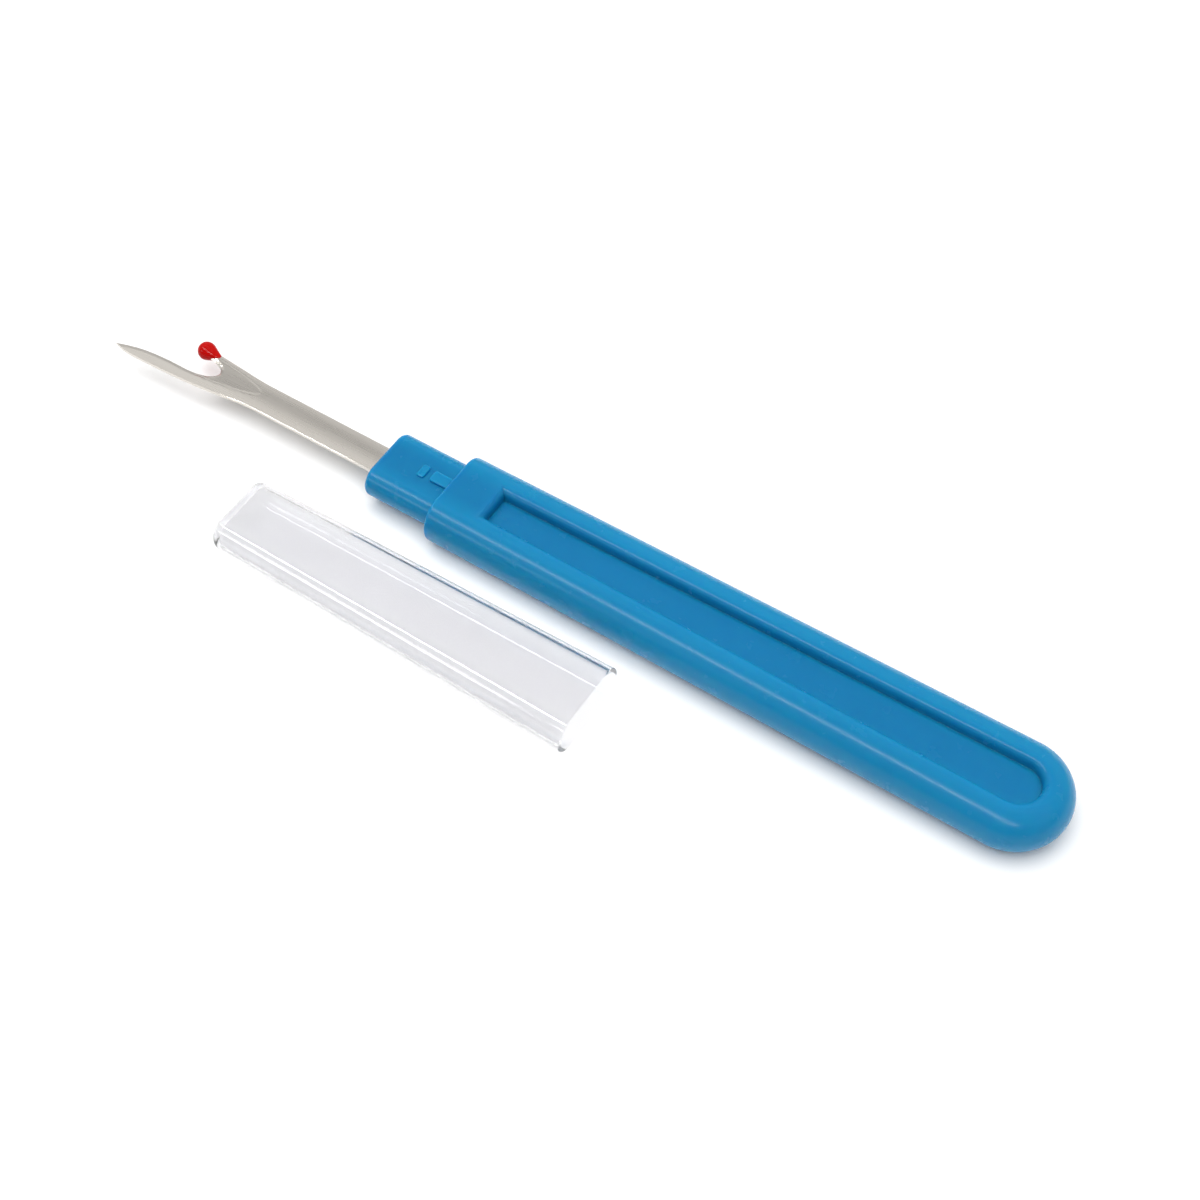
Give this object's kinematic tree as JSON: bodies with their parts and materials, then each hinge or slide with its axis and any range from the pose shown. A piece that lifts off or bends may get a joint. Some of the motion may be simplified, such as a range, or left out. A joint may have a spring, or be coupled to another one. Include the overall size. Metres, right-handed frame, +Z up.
{
  "type": "seam ripper",
  "caption": "Hand seam ripper with a forked steel blade, a bead on the short prong, a recessed oblong grip and a clear push-on cap lying beside it.",
  "frame": {"origin": "on the underside of the grip's front block, on the tool's middle line, 3 mm behind the shoulder that stops the cap", "axes": "+X towards the rear of the grip, +Y away from the cap, +Z up out of the table that the tool and its cap lie on"},
  "size_m": [0.1409, 0.0309, 0.0071],
  "materials": {
    "blue_plastic": "smooth moulded, soft gloss",
    "steel": "satin stamped strip with a ground fork",
    "red_plastic": "high gloss bead",
    "clear_plastic": "clear moulded, polished"
  },
  "bodies": {
    "tool": {"handle": "blue_plastic", "blade": "steel", "safety_ball": "red_plastic"},
    "cap": {"clear_cap": "clear_plastic"}
  },
  "joints": [
    {"name": "cap_slide", "type": "slide", "parent": "tool", "child": "cap", "axis": [-1, 0, 0], "range_m": [0, 0.09]}
  ]
}
